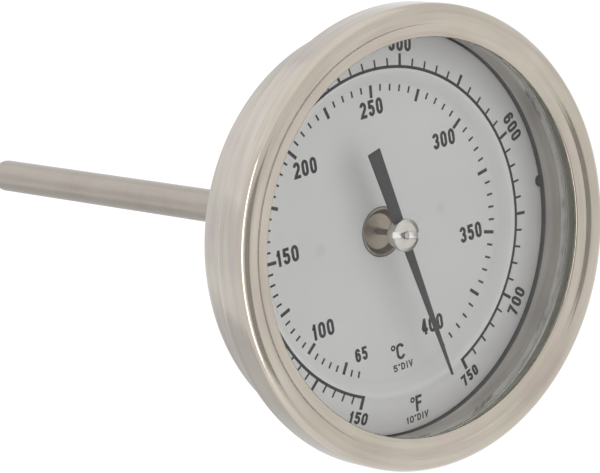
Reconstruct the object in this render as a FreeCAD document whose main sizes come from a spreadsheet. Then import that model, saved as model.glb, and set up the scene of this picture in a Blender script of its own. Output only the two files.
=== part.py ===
import FreeCAD, Part
import math
import os
import Sketcher

# Bimetal dial thermometer, 3 inch dial, rear stem, 1/2 inch tapered pipe thread.
#
# Frame: millimetres, right handed.
#   origin  on the stem axis, at the face where the hexagon meets the thread
#   +Y      along the stem, towards its tip (the dial looks towards -Y)
#   +Z      towards the top of the dial
#   +X      to the right of the dial, as a reader sees it
# Every turned piece is drawn as a half profile, x = radius, y = place along
# the stem axis, and revolved about the stem axis.

os.makedirs("parts", exist_ok=True)
doc = FreeCAD.newDocument("dial_thermometer")

# ---------------------------------------------------------------- sizes
SIZES = [
    # case: drawn cup of stainless sheet
    ("case_inner_r", 37.4), ("case_wall", 0.7), ("case_back", -20.0),
    ("case_corner", 2.5), ("case_hole_r", 7.0),
    ("flange_r", 41.1), ("flange_rear", -31.15),
    # bezel: rolled ring, beaded front, lip turned in over the window
    ("bezel_r", 42.1), ("bezel_inner_r", 41.3), ("bezel_rear", -30.4),
    ("bezel_rear_round", 1.0), ("bezel_hole_rear_r", 38.4),
    ("bead_r", 40.2), ("bead_round", 1.9), ("bead_front", -38.4),
    ("bead_foot_r", 38.1), ("bead_foot", -37.45),
    ("lip_r", 36.0), ("lip_front", -37.3), ("lip_rear", -36.5),
    ("lip_round", 0.4),
    # window stack
    ("seat_r", 36.9), ("seat_outer_r", 40.9), ("seat_front", -33.8),
    ("seat_round", 0.4),
    ("glass_r", 40.0), ("glass_front", -36.1),
    ("gasket_r", 36.7), ("gasket_outer_r", 40.2),
    # dial: dished plate, flat middle, raised sloping rim
    ("dial_r", 37.2), ("dial_thick", 0.5), ("dial_flat", -24.4),
    ("dish_inner_r", 27.2), ("dish_outer_r", 29.6), ("dish_rise", 2.63),
    ("dial_rim_rise", 1.83), ("dial_hole_r", 4.65),
    ("notch_r", 1.15), ("notch_place_r", 37.3), ("notch_turn", 0.3),
    ("post_r", 2.0), ("post_place", 14.35), ("post_up", 0.45),
    # centre bush in the dial
    ("bush_flange_r", 4.5), ("bush_rim_rise", 0.12), ("bush_body_r", 4.2),
    ("bush_pilot_r", 2.675), ("bush_pilot_end", -17.0),
    # process fitting
    ("spigot_r", 7.0), ("spigot_top", -21.9), ("neck_r", 9.0),
    ("hex_flats", 22.225), ("hex_len", 12.0), ("hex_chamfer", 1.2),
    ("thread_len", 15.0), ("thread_big_r", 10.62), ("thread_small_r", 10.18),
    ("thread_lead", 1.2), ("relief_r", 9.45), ("relief_len", 1.6),
    # backing washer inside the case
    ("washer_r", 12.0), ("washer_thick", 0.9),
    # stem
    ("stem_r", 3.175), ("stem_wall", 0.5), ("stem_tip", 101.6),
    ("stem_seat_r", 2.975), ("stem_shoulder", 15.6),
    ("plug_spigot", 3.0),
    # bimetal element
    ("coil_r", 2.3), ("coil_thick", 0.25), ("coil_strip", 1.3),
    ("coil_pitch", 2.0), ("coil_start", 43.5), ("coil_height", 46.0),
    ("anchor_top", 87.5), ("anchor_body", 91.8), ("anchor_end", 94.6),
    ("anchor_boss_r", 2.0),
    ("collar_r", 1.95), ("collar_top", 40.5), ("collar_end", 46.5),
    # pointer shaft and its guides
    ("shaft_r", 0.6), ("shaft_end", 48.0), ("shaft_front", -31.5),
    ("guide_bore_r", 0.65), ("guide_low", 36.5), ("guide_mid", 15.0),
    ("guide_len", 3.0),
    # pointer, measured up from the dial
    ("boss_r", 2.35), ("boss_foot", -28.4), ("pointer_back", -30.2),
    ("pointer_thick", 0.35), ("pointer_tip", 29.2), ("pointer_tail", 16.9),
    ("tail_half", 1.45), ("waist_half", 1.12), ("needle_half", 0.95),
    ("tip_half", 0.22), ("pointer_rest", 167.2),
    ("hub_r", 3.0), ("hub_front", -31.55), ("hub_dome", 0.2),
    ("slot_wide", 1.0), ("slot_deep", 0.55), ("slot_turn", 62.0),
]
VALUE = dict(SIZES)

sheet = doc.addObject("Spreadsheet::Sheet", "Sizes")
for row, (alias, number) in enumerate(SIZES, start=1):
    sheet.set("A%d" % row, alias)
    sheet.set("B%d" % row, repr(float(number)))
    sheet.setAlias("B%d" % row, alias)
doc.recompute()


class Dim:
    """A number together with the sheet expression that gives it."""

    def __init__(self, value, text):
        self.value = float(value)
        self.text = text

    @staticmethod
    def of(other):
        if isinstance(other, Dim):
            return other
        return Dim(other, repr(float(other)) if other >= 0 else "(%r)" % float(other))

    def __add__(self, other):
        other = Dim.of(other)
        return Dim(self.value + other.value, "(%s + %s)" % (self.text, other.text))

    def __sub__(self, other):
        other = Dim.of(other)
        return Dim(self.value - other.value, "(%s - %s)" % (self.text, other.text))

    def __mul__(self, other):
        other = Dim.of(other)
        return Dim(self.value * other.value, "(%s * %s)" % (self.text, other.text))

    def __neg__(self):
        return Dim(-self.value, "(0 - %s)" % self.text)

    __radd__ = __add__
    __rmul__ = __mul__


def D(alias):
    return Dim(VALUE[alias], "Sizes.%s" % alias)


def origin_plane(body, role):
    for feature in body.Origin.OriginFeatures:
        if feature.Role == role:
            return feature
    raise RuntimeError("no plane %s" % role)


def new_body(name):
    body = doc.addObject("PartDesign::Body", name)
    body.Label = name
    return body


def new_sketch(body, name, role):
    sketch = body.newObject("Sketcher::SketchObject", name)
    sketch.AttachmentSupport = [(origin_plane(body, role), "")]
    sketch.MapMode = "FlatFace"
    return sketch


def pin_point(sketch, geo, pos, x, y):
    """Hold one sketch point at x, y from the origin, by sheet expressions."""
    for kind, d, axis in (("DistanceX", Dim.of(x), -2), ("DistanceY", Dim.of(y), -1)):
        if abs(d.value) < 1e-9 and d.text == "0.0":
            sketch.addConstraint(Sketcher.Constraint("PointOnObject", geo, pos, axis))
            continue
        index = sketch.addConstraint(
            Sketcher.Constraint(kind, -1, 1, geo, pos, d.value))
        if d.text.find("Sizes.") >= 0:
            sketch.setExpression("Constraints[%d]" % index, d.text)


def outline(sketch, points):
    """Closed outline. points: (x, y) or (x, y, (cx, cy, ccw)) where the third
    entry makes the edge that leaves the point an arc about cx, cy."""
    n = len(points)
    xy = [(Dim.of(p[0]), Dim.of(p[1])) for p in points]
    ids = []
    for i in range(n):
        a = xy[i]
        b = xy[(i + 1) % n]
        va = FreeCAD.Vector(a[0].value, a[1].value, 0)
        vb = FreeCAD.Vector(b[0].value, b[1].value, 0)
        if len(points[i]) > 2:
            cx, cy, ccw = points[i][2]
            cx, cy = Dim.of(cx), Dim.of(cy)
            c = FreeCAD.Vector(cx.value, cy.value, 0)
            r = (va - c).Length
            circle = Part.Circle(c, FreeCAD.Vector(0, 0, 1), r)
            ta = math.atan2(va.y - c.y, va.x - c.x)
            tb = math.atan2(vb.y - c.y, vb.x - c.x)
            if not ccw:
                ta, tb = tb, ta
            if tb <= ta:
                tb += 2 * math.pi
            ids.append((sketch.addGeometry(Part.ArcOfCircle(circle, ta, tb), False),
                        ccw, (cx, cy), vb - va))
        else:
            ids.append((sketch.addGeometry(Part.LineSegment(va, vb), False),
                        True, None, vb - va))
    for i in range(n):
        geo, ccw, centre, chord = ids[i]
        nxt, nccw = ids[(i + 1) % n][:2]
        end = 2 if ccw else 1
        start = 1 if nccw else 2
        sketch.addConstraint(Sketcher.Constraint("Coincident", geo, end, nxt, start))
    for i in range(n):
        geo, ccw, centre, chord = ids[i]
        pin_point(sketch, geo, 1 if ccw else 2, xy[i][0], xy[i][1])
        if centre is not None:
            if abs(chord.y) > abs(chord.x):
                kind, d = "DistanceX", centre[0]
            else:
                kind, d = "DistanceY", centre[1]
            index = sketch.addConstraint(
                Sketcher.Constraint(kind, -1, 1, geo, 3, d.value))
            if d.text.find("Sizes.") >= 0:
                sketch.setExpression("Constraints[%d]" % index, d.text)


def revolve(body, name, points, groove=False):
    sketch = new_sketch(body, name + "_profile", "XY_Plane")
    outline(sketch, points)
    doc.recompute()
    kind = "PartDesign::Groove" if groove else "PartDesign::Revolution"
    feature = body.newObject(kind, name)
    feature.Profile = sketch
    feature.ReferenceAxis = (sketch, ["V_Axis"])
    feature.Angle = 360.0
    doc.recompute()
    return feature


def turned(name, points):
    body = new_body(name)
    revolve(body, name + "_turn", points)
    return body


def checked_cut(body, before, what):
    doc.recompute()
    after = body.Shape.Volume
    if not after < before - 1e-3:
        raise RuntimeError("%s cut nothing: %.4f -> %.4f" % (what, before, after))


NODES = []


def keep(obj):
    NODES.append(obj)
    return obj


# ---------------------------------------------------------------- case
wall = D("case_wall")
case_r = D("case_inner_r") + wall
corner = D("case_corner")
back = D("case_back")
inner_back = back - wall
inner_corner = corner - wall
flange_front = D("flange_rear") - wall
case_body = keep(turned("case_body", [
    (D("case_hole_r"), back),
    (case_r - corner, back, (case_r - corner, back - corner, False)),
    (case_r, back - corner),
    (case_r, D("flange_rear")),
    (D("flange_r"), D("flange_rear")),
    (D("flange_r"), flange_front),
    (D("case_inner_r"), flange_front),
    (D("case_inner_r"), inner_back - inner_corner,
     (D("case_inner_r") - inner_corner, inner_back - inner_corner, True)),
    (D("case_inner_r") - inner_corner, inner_back),
    (D("case_hole_r"), inner_back),
]))

# ---------------------------------------------------------------- bezel
bead_centre_y = D("bead_front") + D("bead_round")
inner_bead_r = D("bead_round") - (D("bezel_r") - D("bezel_inner_r"))
rear_round = D("bezel_rear_round")
rear_inner_front = D("bezel_rear") - 0.75
# the rolled crown falls from the bead's top to its foot along one arc
crown_drop = VALUE["bead_foot"] - VALUE["bead_front"]
crown_run = VALUE["bead_r"] - VALUE["bead_foot_r"]
crown_arc = (crown_run ** 2 + crown_drop ** 2) / (2.0 * crown_drop)
sheet_row = len(SIZES) + 1
sheet.set("A%d" % sheet_row, "crown_arc")
sheet.set("B%d" % sheet_row, repr(round(crown_arc, 6)))
sheet.setAlias("B%d" % sheet_row, "crown_arc")
VALUE["crown_arc"] = round(crown_arc, 6)
doc.recompute()
bezel_ring = keep(turned("bezel_ring", [
    # outside, from the rear lip forward
    (D("bezel_hole_rear_r"), D("bezel_rear")),
    (D("bezel_r") - rear_round, D("bezel_rear"),
     (D("bezel_r") - rear_round, D("bezel_rear") - rear_round, False)),
    (D("bezel_r"), D("bezel_rear") - rear_round),
    (D("bezel_r"), bead_centre_y, (D("bead_r"), bead_centre_y, False)),
    (D("bead_r"), D("bead_front"),
     (D("bead_r"), D("bead_front") + D("crown_arc"), False)),
    (D("bead_foot_r"), D("bead_foot")),
    (D("lip_r") + D("lip_round"), D("lip_front"),
     (D("lip_r") + D("lip_round"), D("lip_front") + D("lip_round"), False)),
    (D("lip_r"), D("lip_front") + D("lip_round")),
    (D("lip_r"), D("lip_rear")),
    # inside
    (D("bead_r"), D("lip_rear")),
    (D("bead_r"), bead_centre_y - inner_bead_r,
     (D("bead_r"), bead_centre_y, True)),
    (D("bezel_inner_r"), bead_centre_y),
    (D("bezel_inner_r"), rear_inner_front),
    (D("bezel_hole_rear_r"), rear_inner_front),
]))

# ---------------------------------------------------------------- window
keep(turned("glass_seat_ring", [
    (D("seat_r"), flange_front),
    (D("seat_outer_r"), flange_front),
    (D("seat_outer_r"), D("seat_front")),
    (D("seat_r") + D("seat_round"), D("seat_front"),
     (D("seat_r") + D("seat_round"), D("seat_front") + D("seat_round"), False)),
    (D("seat_r"), D("seat_front") + D("seat_round")),
]))
keep(turned("window_glass", [
    (0.0, D("seat_front")),
    (D("glass_r"), D("seat_front")),
    (D("glass_r"), D("glass_front")),
    (0.0, D("glass_front")),
]))
keep(turned("window_gasket", [
    (D("gasket_r"), D("glass_front")),
    (D("bead_r") - 0.2, D("glass_front")),
    (D("bead_r") - 0.2, D("lip_rear")),
    (D("gasket_r"), D("lip_rear")),
]))

# ---------------------------------------------------------------- dial
flat = D("dial_flat")
thick = D("dial_thick")
dial_plate = keep(turned("dial_plate", [
    (D("dial_hole_r"), flat + thick),
    (D("dial_hole_r"), flat),
    (D("dish_inner_r"), flat),
    (D("dish_outer_r"), flat - D("dish_rise")),
    (D("dial_r"), flat - D("dial_rim_rise")),
    (D("dial_r"), flat - D("dial_rim_rise") + thick),
    (D("dish_outer_r"), flat - D("dish_rise") + thick),
    (D("dish_inner_r"), flat + thick),
]))
before = dial_plate.Shape.Volume
notches = new_sketch(dial_plate, "dial_notches", "XZ_Plane")
turn = math.radians(VALUE["notch_turn"])
for side in (1, -1):
    px = side * VALUE["notch_place_r"] * math.cos(turn)
    pz = -side * VALUE["notch_place_r"] * math.sin(turn)
    geo = notches.addGeometry(Part.Circle(
        FreeCAD.Vector(px, pz, 0), FreeCAD.Vector(0, 0, 1), VALUE["notch_r"]), False)
    k = notches.addConstraint(Sketcher.Constraint("Radius", geo, VALUE["notch_r"]))
    notches.setExpression("Constraints[%d]" % k, "Sizes.notch_r")
    k = notches.addConstraint(Sketcher.Constraint("DistanceX", -1, 1, geo, 3, px))
    notches.setExpression("Constraints[%d]" % k,
                          "%d * Sizes.notch_place_r * cos(Sizes.notch_turn * 1deg)" % side)
    k = notches.addConstraint(Sketcher.Constraint("DistanceY", -1, 1, geo, 3, pz))
    notches.setExpression("Constraints[%d]" % k,
                          "%d * Sizes.notch_place_r * sin(Sizes.notch_turn * 1deg)" % -side)
doc.recompute()
pocket = dial_plate.newObject("PartDesign::Pocket", "dial_notch_cut")
pocket.Profile = notches
pocket.Type = "ThroughAll"
pocket.Midplane = True
checked_cut(dial_plate, before, "dial notches")

# two posts spot welded to the back of the dial and to the case
posts = []
post_high = (flat + thick)
for side, tag in ((1, "right"), (-1, "left")):
    post = doc.addObject("Part::Cylinder", "dial_post_" + tag)
    post.setExpression("Radius", "Sizes.post_r")
    post.setExpression("Height", (inner_back - post_high).text)
    post.Placement = FreeCAD.Placement(
        FreeCAD.Vector(side * VALUE["post_place"], post_high.value, VALUE["post_up"]),
        FreeCAD.Rotation(FreeCAD.Vector(1, 0, 0), -90))
    post.setExpression("Placement.Base.x", "%d * Sizes.post_place" % side)
    post.setExpression("Placement.Base.y", post_high.text)
    post.setExpression("Placement.Base.z", "Sizes.post_up")
    posts.append(post)
dial_posts = doc.addObject("Part::Compound", "dial_posts")
dial_posts.Label = "dial_posts"
dial_posts.Links = posts
keep(dial_posts)

# centre bush: dished face, rim level with the dial, pilot in the top of the stem
rim_top = flat - D("bush_rim_rise")
keep(turned("centre_bush", [
    (D("guide_bore_r"), flat + 1.1),
    (3.3, flat + 1.15),
    (3.85, flat + 0.2),
    (4.15, rim_top),
    (D("bush_flange_r"), flat - 0.05),
    (D("bush_flange_r"), flat + 0.6),
    (D("bush_body_r"), flat + 0.6),
    (D("bush_body_r"), D("spigot_top")),
    (D("bush_pilot_r"), D("spigot_top")),
    (D("bush_pilot_r"), D("bush_pilot_end")),
    (D("guide_bore_r"), D("bush_pilot_end")),
]))

# ---------------------------------------------------------------- fitting
process_fitting = new_body("process_fitting")
revolve(process_fitting, "fitting_turn", [
    (D("stem_seat_r"), D("spigot_top")),
    (D("spigot_r"), D("spigot_top")),
    (D("spigot_r"), back),
    (D("neck_r"), back),
    (D("neck_r"), -D("hex_len") + 0.5),
    (D("relief_r"), -D("hex_len") + 0.5),
    (D("relief_r"), D("relief_len")),
    (D("thread_big_r") - 0.35, D("relief_len") + 0.4),
    (D("thread_big_r"), D("relief_len") + 1.0),
    (D("thread_small_r") + 0.03, D("thread_len") - D("thread_lead")),
    (D("thread_small_r") - 0.9, D("thread_len")),
    (D("stem_seat_r"), D("thread_len")),
])
hexagon = new_sketch(process_fitting, "hexagon", "XZ_Plane")
across = VALUE["hex_flats"] / math.sqrt(3.0)
corners = [FreeCAD.Vector(across * math.cos(math.radians(60 * i)),
                          across * math.sin(math.radians(60 * i)), 0) for i in range(6)]
for i in range(6):
    hexagon.addGeometry(Part.LineSegment(corners[i], corners[(i + 1) % 6]), False)
for i in range(6):
    hexagon.addConstraint(Sketcher.Constraint("Coincident", i, 2, (i + 1) % 6, 1))
ring = hexagon.addGeometry(Part.Circle(
    FreeCAD.Vector(0, 0, 0), FreeCAD.Vector(0, 0, 1), across), True)
hexagon.addConstraint(Sketcher.Constraint("Coincident", ring, 3, -1, 1))
for i in range(6):
    hexagon.addConstraint(Sketcher.Constraint("PointOnObject", i, 1, ring))
for i in range(1, 6):
    hexagon.addConstraint(Sketcher.Constraint("Equal", 0, i))
hexagon.addConstraint(Sketcher.Constraint("PointOnObject", 0, 1, -1))
k = hexagon.addConstraint(Sketcher.Constraint("Radius", ring, across))
hexagon.setExpression("Constraints[%d]" % k, "Sizes.hex_flats / sqrt(3)")
doc.recompute()
hex_pad = process_fitting.newObject("PartDesign::Pad", "hexagon_pad")
hex_pad.Profile = hexagon
hex_pad.setExpression("Length", "Sizes.hex_len")
doc.recompute()
if process_fitting.Shape.BoundBox.YMax > VALUE["thread_len"] + 1e-6:
    raise RuntimeError("hexagon pad runs the wrong way")
# both ends of the hexagon are chamfered round
for tag, end, far in (
        ("tip_side", 0.0, -D("hex_chamfer")),
        ("case_side", -D("hex_len"), D("hex_chamfer") - D("hex_len"))):
    before = process_fitting.Shape.Volume
    revolve(process_fitting, "hexagon_chamfer_" + tag, [
        (11.2, end), (13.6, end), (13.6, far)], groove=True)
    checked_cut(process_fitting, before, "hexagon chamfer")
# the stem bore goes right through the hexagon too
before = process_fitting.Shape.Volume
revolve(process_fitting, "stem_bore", [
    (0.0, D("spigot_top") - 1.0), (D("stem_seat_r"), D("spigot_top") - 1.0),
    (D("stem_seat_r"), D("thread_len") + 1.0), (0.0, D("thread_len") + 1.0)], groove=True)
checked_cut(process_fitting, before, "stem bore")
keep(process_fitting)

keep(turned("backing_washer", [
    (D("spigot_r"), inner_back),
    (D("washer_r"), inner_back),
    (D("washer_r"), inner_back - D("washer_thick")),
    (D("spigot_r"), inner_back - D("washer_thick")),
]))

# ---------------------------------------------------------------- stem
# the length inside the fitting is turned down, and its shoulder stands just
# clear of the fitting's nose
tube_inner = D("stem_r") - D("stem_wall")
tube_end = D("stem_tip") - D("stem_r")
keep(turned("stem_tube", [
    (tube_inner, D("spigot_top")),
    (D("stem_seat_r"), D("spigot_top")),
    (D("stem_seat_r"), D("stem_shoulder")),
    (D("stem_r"), D("stem_shoulder")),
    (D("stem_r"), tube_end),
    (tube_inner, tube_end),
]))
keep(turned("stem_tip_plug", [
    (0.0, tube_end - D("plug_spigot")),
    (tube_inner, tube_end - D("plug_spigot")),
    (tube_inner, tube_end),
    (D("stem_r"), tube_end, (0.0, tube_end, True)),
    (0.0, D("stem_tip")),
]))

# ---------------------------------------------------------------- element
coil = new_body("bimetal_coil")
strip = new_sketch(coil, "strip_section", "XY_Plane")
coil_in = D("coil_r") - D("coil_thick")
outline(strip, [
    (coil_in, D("coil_start")),
    (D("coil_r"), D("coil_start")),
    (D("coil_r"), D("coil_start") + D("coil_strip")),
    (coil_in, D("coil_start") + D("coil_strip")),
])
doc.recompute()
helix = coil.newObject("PartDesign::AdditiveHelix", "strip_helix")
helix.Profile = strip
helix.ReferenceAxis = (strip, ["V_Axis"])
helix.Mode = "pitch-height-angle"
helix.setExpression("Pitch", "Sizes.coil_pitch")
helix.setExpression("Height", "Sizes.coil_height")
helix.Angle = 0.0
doc.recompute()
keep(coil)

keep(turned("coil_anchor", [
    (0.0, D("anchor_top")),
    (D("anchor_boss_r"), D("anchor_top")),
    (D("anchor_boss_r"), D("anchor_body")),
    (tube_inner, D("anchor_body")),
    (tube_inner, D("anchor_end")),
    (0.0, D("anchor_end")),
]))
keep(turned("coil_collar", [
    (D("shaft_r"), D("collar_top")),
    (D("collar_r"), D("collar_top")),
    (D("collar_r"), D("collar_end")),
    (D("shaft_r"), D("collar_end")),
]))
for name, alias in (("guide_bush_lower", "guide_low"), ("guide_bush_middle", "guide_mid")):
    keep(turned(name, [
        (D("guide_bore_r"), D(alias)),
        (tube_inner, D(alias)),
        (tube_inner, D(alias) + D("guide_len")),
        (D("guide_bore_r"), D(alias) + D("guide_len")),
    ]))

# ---------------------------------------------------------------- pointer
spin = FreeCAD.Placement(
    FreeCAD.Vector(0, 0, 0),
    FreeCAD.Rotation(FreeCAD.Vector(0, 1, 0), VALUE["pointer_rest"]))

keep(turned("pointer_shaft", [
    (0.0, D("shaft_front")),
    (D("shaft_r"), D("shaft_front")),
    (D("shaft_r"), D("shaft_end")),
    (0.0, D("shaft_end")),
]))
keep(turned("pointer_boss", [
    (D("shaft_r"), D("boss_foot")),
    (D("shaft_r"), D("pointer_back")),
    (D("boss_r"), D("pointer_back")),
    (D("boss_r"), D("boss_foot") - 0.3),
    (D("boss_r") - 0.3, D("boss_foot")),
]))

blade = new_body("pointer_blade")
flatb = new_sketch(blade, "blade_outline", "XZ_Plane")
flatb.AttachmentOffset = FreeCAD.Placement(
    FreeCAD.Vector(0, 0, -VALUE["pointer_back"]), FreeCAD.Rotation())
flatb.setExpression("AttachmentOffset.Base.z", "0 - Sizes.pointer_back")
outline(flatb, [
    (D("tip_half"), D("pointer_tip")),
    (-D("tip_half"), D("pointer_tip")),
    (-D("needle_half"), 2.2),
    (-D("waist_half"), -2.2),
    (-D("tail_half"), -D("pointer_tail")),
    (D("tail_half"), -D("pointer_tail")),
    (D("waist_half"), -2.2),
    (D("needle_half"), 2.2),
])
eye = flatb.addGeometry(Part.Circle(
    FreeCAD.Vector(0, 0, 0), FreeCAD.Vector(0, 0, 1), VALUE["shaft_r"]), False)
flatb.addConstraint(Sketcher.Constraint("Coincident", eye, 3, -1, 1))
k = flatb.addConstraint(Sketcher.Constraint("Radius", eye, VALUE["shaft_r"]))
flatb.setExpression("Constraints[%d]" % k, "Sizes.shaft_r")
doc.recompute()
pad = blade.newObject("PartDesign::Pad", "blade_pad")
pad.Profile = flatb
pad.setExpression("Length", "Sizes.pointer_thick")
doc.recompute()
blade.Placement = spin
keep(blade)

hub = new_body("pointer_hub")
hub_back = D("pointer_back") - D("pointer_thick")
revolve(hub, "hub_turn", [
    (D("shaft_r"), hub_back),
    (D("hub_r") - 0.12, hub_back),
    (D("hub_r"), hub_back - 0.12),
    (D("hub_r"), D("hub_front") + D("hub_dome")),
    (D("hub_r") - 0.12, D("hub_front") + D("hub_dome") - 0.14),
    (D("hub_r") - 0.75, D("hub_front") + 0.03),
    (D("shaft_r"), D("hub_front") - 0.05),
])
before = hub.Shape.Volume
slot = new_sketch(hub, "slot_outline", "XZ_Plane")
slot.AttachmentOffset = FreeCAD.Placement(
    FreeCAD.Vector(0, 0, -VALUE["hub_front"] - VALUE["slot_deep"]),
    FreeCAD.Rotation(FreeCAD.Vector(0, 0, 1), 90.0 + VALUE["slot_turn"]))
slot.setExpression("AttachmentOffset.Base.z", "0 - Sizes.hub_front - Sizes.slot_deep")
half = D("slot_wide") * 0.5
outline(slot, [
    (-D("hub_r") - 1.0, -half), (D("hub_r") + 1.0, -half),
    (D("hub_r") + 1.0, half), (-D("hub_r") - 1.0, half)])
doc.recompute()
cut = hub.newObject("PartDesign::Pocket", "slot_cut")
cut.Profile = slot
cut.Length = 2.0
cut.Reversed = True
checked_cut(hub, before, "hub slot")
hub.Placement = spin
keep(hub)

# ---------------------------------------------------------------- checks
doc.recompute()
for obj in doc.Objects:
    if "Invalid" in obj.State or "Error" in obj.State:
        raise RuntimeError("%s failed: %s" % (obj.Name, obj.State))
for obj in doc.Objects:
    if obj.TypeId == "Sketcher::SketchObject":
        if obj.solve() != 0:
            raise RuntimeError("sketch %s does not solve" % obj.Name)
for obj in NODES:
    shape = obj.Shape
    if shape.isNull() or not shape.isValid() or not shape.Solids:
        raise RuntimeError("%s has no valid solid" % obj.Label)

for obj in NODES:
    obj.Shape.exportStep(os.path.join("parts", obj.Label + ".step"))
    box = obj.Shape.BoundBox
    print("%-20s solids %d vol %9.2f  x %7.2f %7.2f  y %7.2f %7.2f  z %7.2f %7.2f" % (
        obj.Label, len(obj.Shape.Solids), obj.Shape.Volume,
        box.XMin, box.XMax, box.YMin, box.YMax, box.ZMin, box.ZMax))
print("nodes", len(NODES))
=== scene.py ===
import math

import bmesh
import bpy
from mathutils import Matrix, Vector


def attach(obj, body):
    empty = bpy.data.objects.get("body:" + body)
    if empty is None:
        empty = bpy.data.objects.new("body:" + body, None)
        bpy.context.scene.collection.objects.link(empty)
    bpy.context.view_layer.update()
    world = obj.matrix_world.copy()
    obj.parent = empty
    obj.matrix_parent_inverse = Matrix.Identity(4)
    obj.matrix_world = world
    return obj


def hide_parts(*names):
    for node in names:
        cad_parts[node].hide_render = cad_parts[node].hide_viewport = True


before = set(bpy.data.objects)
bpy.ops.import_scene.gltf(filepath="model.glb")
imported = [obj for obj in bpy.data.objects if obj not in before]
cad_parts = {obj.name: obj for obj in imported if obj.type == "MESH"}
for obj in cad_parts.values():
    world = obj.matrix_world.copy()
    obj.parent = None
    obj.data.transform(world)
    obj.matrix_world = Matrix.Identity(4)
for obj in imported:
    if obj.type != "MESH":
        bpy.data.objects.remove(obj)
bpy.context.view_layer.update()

# Lengths in this script are millimetres until a mesh is made: MM turns them
# into metres. Turned pieces are half profiles (radius, place along the stem
# axis Y), swept about the stem axis. Angles round the dial are clockwise from
# the top as a reader sees them, so a point of the dial is
# (r sin a, y, r cos a).
MM = 0.001
TAU = 2.0 * math.pi


# ================================================================ camera
scene = bpy.context.scene
cam_data = bpy.data.cameras.new("camera")
cam = bpy.data.objects.new("camera", cam_data)
scene.collection.objects.link(cam)
cam_x = Vector((0.77192, -0.61688, -0.15366))
cam_y = Vector((0.26784, 0.09637, 0.95864))
cam_z = Vector((-0.57655, -0.78115, 0.23962))
turn = Matrix((cam_x, cam_y, cam_z)).transposed().to_4x4()
cam.matrix_world = Matrix.Translation((-0.37838, -0.51206, 0.15383)) @ turn
cam_data.lens = 210.3
cam_data.sensor_width = 36.0
cam_data.sensor_fit = "HORIZONTAL"
cam_data.clip_start = 0.02
cam_data.clip_end = 60.0
cam_data.dof.use_dof = False
scene.camera = cam


# ================================================================ meshes
def finish_mesh(name, bm, sharp=32.0, scale=MM):
    """bmesh in millimetres -> object in metres, smooth with sharp edges."""
    bmesh.ops.recalc_face_normals(bm, faces=bm.faces)
    mesh = bpy.data.meshes.new(name)
    bm.to_mesh(mesh)
    bm.free()
    mesh.transform(Matrix.Scale(scale, 4))
    for p in mesh.polygons:
        p.use_smooth = True
    mesh.set_sharp_from_angle(angle=math.radians(sharp))
    obj = bpy.data.objects.new(name, mesh)
    scene.collection.objects.link(obj)
    return obj


def fillet(points, steps=4):
    """Closed outline with rounded corners. points: (x, y) or (x, y, radius)."""
    out = []
    n = len(points)
    for i in range(n):
        p = points[i]
        rad = p[2] if len(p) > 2 else 0.0
        here = Vector(p[:2])
        if rad <= 0.0:
            out.append((here.x, here.y))
            continue
        a = (Vector(points[i - 1][:2]) - here).normalized()
        b = (Vector(points[(i + 1) % n][:2]) - here).normalized()
        half = a.angle(b) / 2.0
        if abs(half - math.pi / 2.0) < 1e-3:
            out.append((here.x, here.y))
            continue
        reach = rad / math.tan(half)
        centre = here + (a + b).normalized() * (rad / math.sin(half))
        s, e = here + a * reach - centre, here + b * reach - centre
        t0 = math.atan2(s.y, s.x)
        sweep = (math.atan2(e.y, e.x) - t0 + math.pi) % TAU - math.pi
        for k in range(steps + 1):
            t = t0 + sweep * k / steps
            out.append((centre.x + rad * math.cos(t), centre.y + rad * math.sin(t)))
    return out


def arc(cx, cy, rx, ry, a0, a1, n):
    """Points of an elliptic arc, in degrees."""
    return [(cx + rx * math.cos(math.radians(a0 + (a1 - a0) * k / n)),
             cy + ry * math.sin(math.radians(a0 + (a1 - a0) * k / n)))
            for k in range(n + 1)]


def grid_solid(name, rings, closed_v=True, sharp=32.0):
    """rings: lists of points (x, y, z); a ring of one point is a pole. The
    rings join in order, and the last joins the first when closed_v."""
    bm = bmesh.new()
    made = [[bm.verts.new(p) for p in ring] for ring in rings]
    pairs = list(zip(made, made[1:]))
    if closed_v:
        pairs.append((made[-1], made[0]))
    for A, B in pairs:
        if len(A) == 1 and len(B) == 1:
            continue
        n = max(len(A), len(B))
        for k in range(n):
            j = (k + 1) % n
            if len(A) == 1:
                bm.faces.new((A[0], B[k], B[j]))
            elif len(B) == 1:
                bm.faces.new((A[k], B[0], A[j]))
            else:
                bm.faces.new((A[k], B[k], B[j], A[j]))
    return finish_mesh(name, bm, sharp)


def lathe(name, loop, n=256, sharp=32.0):
    rings = []
    for r, y in loop:
        if r < 1e-6:
            rings.append([(0.0, y, 0.0)])
        else:
            rings.append([(r * math.sin(TAU * k / n), y, r * math.cos(TAU * k / n))
                          for k in range(n)])
    return grid_solid(name, rings, True, sharp)


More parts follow.
